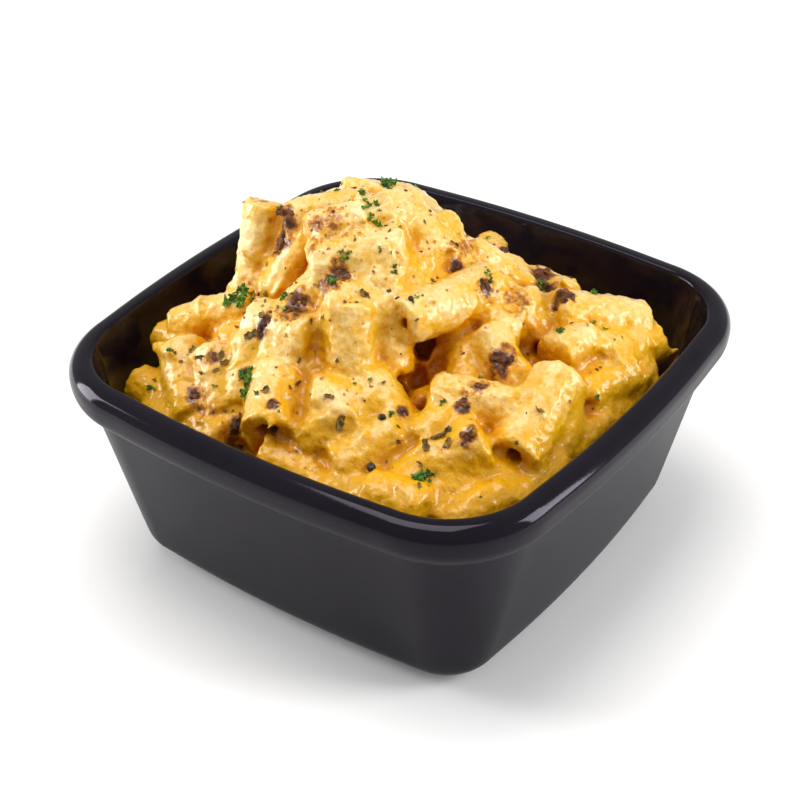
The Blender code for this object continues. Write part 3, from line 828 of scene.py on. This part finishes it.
def herbModel(chance):
    # a dried leaf, long and rolled up along its length
    deselectAll()
    bpy.ops.mesh.primitive_grid_add(x_subdivisions=5, y_subdivisions=3, size=1)
    piece = bpy.context.object
    for vert in piece.data.vertices:
        taper = 1 - 1.3 * vert.co.x * vert.co.x
        vert.co.y = vert.co.y * chance.uniform(0.4, 0.8) * taper + chance.uniform(-0.06, 0.06)
        vert.co.z = 1.3 * vert.co.y * vert.co.y + 0.5 * vert.co.x * vert.co.x + chance.uniform(-0.07, 0.07)
    applyModifier(piece, "SOLIDIFY", thickness=0.09, offset=0)
    return piece


def crumbModel(rugged, subdivisions, chance):
    # a broken crumb: a ball with its points pushed in and out
    deselectAll()
    bpy.ops.mesh.primitive_ico_sphere_add(subdivisions=subdivisions, radius=0.5)
    piece = bpy.context.object
    for vert in piece.data.vertices:
        vert.co *= 1 + chance.uniform(-rugged, rugged)
    return piece


def scatterOn(name, models, places, flat, lift, chance, tilt=0.35):
    # copies of the models laid on the surface, turned with it, in one mesh
    parts = []
    for x, y, size in places:
        spot, normal = dropOn(x, y)
        if spot is None or spot.z < 24 * mm:
            continue
        model = chance.choice(models)
        part = model.copy()
        part.data = model.data.copy()
        bpy.context.collection.objects.link(part)
        lean = Vector([chance.uniform(-tilt, tilt) for i in range(3)])
        turn = (normal + lean).to_track_quat("Z", "Y").to_matrix().to_4x4()
        spin = Matrix.Rotation(chance.uniform(0, math.tau), 4, "Z")
        length = size * mm
        shape = Matrix.Diagonal((length, length * chance.uniform(0.7, 1), length * chance.uniform(*flat), 1))
        part.matrix_world = Matrix.Translation(spot + normal * lift * length) @ turn @ spin @ shape
        parts.append(part)
    for model in models:
        bpy.data.objects.remove(model)
    return joinPieces(parts, name)


def randomPlaces(count, sizes, chance, crowd=0.5):
    # loose bits over the whole filling, more of them near the top of the pile
    places = []
    while len(places) < count:
        if chance.random() < crowd:
            x, y = chance.gauss(-8, 14), chance.gauss(-12, 14)
        else:
            x, y = chance.uniform(-46, 46), chance.uniform(-46, 46)
        if max(abs(x), abs(y)) < 46 and abs(x) + abs(y) < 80:
            places.append((x, y, chance.uniform(*sizes) ))
    return places


def leafFlesh(name, light, dark, scale, roughness):
    # leaf scraps: thin, uneven green or brown
    material, tree, shader = startMaterial(name)
    place = addNode(tree, "ShaderNodeTexCoord")
    cloud = addNode(tree, "ShaderNodeTexNoise", {"Scale": scale, "Detail": 3.0},
                    {"Vector": place.outputs["Object"]})
    spread = addNode(tree, "ShaderNodeMapRange", {"From Min": 0.32, "From Max": 0.68},
                     {"Value": cloud.outputs["Fac"]})
    tone = addNode(tree, "ShaderNodeMix", {"data_type": "RGBA", 6: linearColour(dark), 7: linearColour(light)},
                   {0: spread.outputs["Result"]})
    tree.links.new(tone.outputs[2], shader.inputs["Base Color"])
    shader.inputs["Roughness"].default_value = roughness
    return material


def addToppings():
    chance = random.Random(toppings["seed"])
    counts = toppings["scattered"]
    # each sprig is a tuft of curled leaflets
    tufts = [(x + chance.gauss(0, size / 5), y + chance.gauss(0, size / 5), chance.uniform(0.35, 0.6) * size)
             for x, y, size in toppings["parsley"] for i in range(round(1.6 * size))]
    parsley = scatterOn("parsleyFlakes", [leafModel("leaf", lobes, chance) for lobes in (3, 4, 5)],
                        tufts + randomPlaces(counts["parsley"], (0.8, 1.6), chance), (0.9, 1.3), 0.2, chance, 0.8)
    finishPiece(parsley, leafFlesh("choppedParsley", "#689c22", "#2a5008", 400.0, 0.45))
    herbs = scatterOn("driedHerbs", [herbModel(chance) for i in range(4)],
                      list(toppings["herbs"]) + randomPlaces(counts["herbs"], (0.5, 1.3), chance, 0.4),
                      (0.8, 1.2), 0.06, chance, 0.6)
    finishPiece(herbs, leafFlesh("driedOregano", "#9c7e38", "#443212", 900.0, 0.8))
    # each burnt spot is a crust of several bits
    burnt = [(x + chance.gauss(0, size / 5), y + chance.gauss(0, size / 5), chance.uniform(0.2, 0.55) * size)
             for x, y, size in toppings["char"] for i in range(9)]
    char = scatterOn("charredBits", [crumbModel(0.35, 2, chance) for i in range(5)],
                     burnt + randomPlaces(counts["char"], (0.4, 1.1), chance, 0.6), (0.2, 0.45), 0.05, chance)
    finishPiece(char, leafFlesh("charredCheese", "#86460c", "#0e0704", 900.0, 0.7))
    pepper = scatterOn("crackedPepper", [crumbModel(0.18, 2, chance)], toppings["pepper"],
                       (0.8, 1.0), 0.2, chance)
    finishPiece(pepper, leafFlesh("blackPeppercorn", "#2a2622", "#0a0908", 900.0, 0.5))
    crumbs = scatterOn("toastedCrumbs", [crumbModel(0.3, 1, chance) for i in range(4)],
                       randomPlaces(counts["crumbs"], (0.35, 0.95), chance, 0.6), (0.3, 0.7), 0.03, chance)
    finishPiece(crumbs, leafFlesh("toastedCrumb", "#e0a040", "#a8581a", 500.0, 0.6))
    print("toppings:", [len(piece.data.polygons) for piece in (parsley, herbs, char, pepper, crumbs)], "faces")


addToppings()


# ---- camera, light and floor

view = {
    "position": (0.1855, -0.2614, 0.2541),
    "forward": (-0.4787, 0.6687, -0.569),
    "up": (-0.3207, 0.4701, 0.8223),
    "lens": 79.05,
}


def addCamera():
    data = bpy.data.cameras.new("camera")
    data.lens = view["lens"]
    data.sensor_width = 36
    data.clip_start = 0.01
    camera = bpy.data.objects.new("camera", data)
    bpy.context.scene.collection.objects.link(camera)
    forward, up = Vector(view["forward"]).normalized(), Vector(view["up"])
    right = forward.cross(up).normalized()
    up = right.cross(forward)
    turn = Matrix((right, up, -forward)).transposed().to_4x4()
    camera.matrix_world = Matrix.Translation(view["position"]) @ turn
    bpy.context.scene.camera = camera


def addLight(name, position, target, size, power, colour):
    data = bpy.data.lights.new(name, "AREA")
    data.shape = "RECTANGLE"
    data.size, data.size_y = size
    data.energy = power
    data.color = linearColour(colour)[:3]
    light = bpy.data.objects.new(name, data)
    bpy.context.scene.collection.objects.link(light)
    light.location = position
    light.rotation_euler = (Vector(position) - Vector(target)).to_track_quat("Z", "Y").to_euler()


def addStudio():
    world = bpy.data.worlds.new("studio")
    bpy.context.scene.world = world
    world.use_nodes = True
    background = world.node_tree.nodes["Background"]
    background.inputs["Color"].default_value = linearColour("#ffffff")
    background.inputs["Strength"].default_value = 0.4
    addLight("keyAbove", (-0.16, -0.04, 1.15), (0, 0, 0.05), (0.7, 0.7), 8.0, "#fffcf8")
    addLight("sideLeft", (-0.55, -0.25, 0.22), (0, 0, 0.05), (0.25, 0.4), 3.2, "#ffffff")
    addLight("sideRight", (0.55, 0.25, 0.3), (0, 0, 0.05), (0.25, 0.4), 3.2, "#ffffff")
    deselectAll()
    bpy.ops.mesh.primitive_plane_add(size=6, location=(0, 0, -0.1 * mm))
    floor = bpy.context.object
    floor.name = "floor"
    material, tree, shader = startMaterial("whitePaperSweep")
    shader.inputs["Base Color"].default_value = linearColour("#fafafa")
    shader.inputs["Roughness"].default_value = 0.9
    floor.data.materials.append(material)


addCamera()
addStudio()
bpy.context.scene.view_settings.view_transform = "Standard"
print("camera and studio ready")

deselectAll()
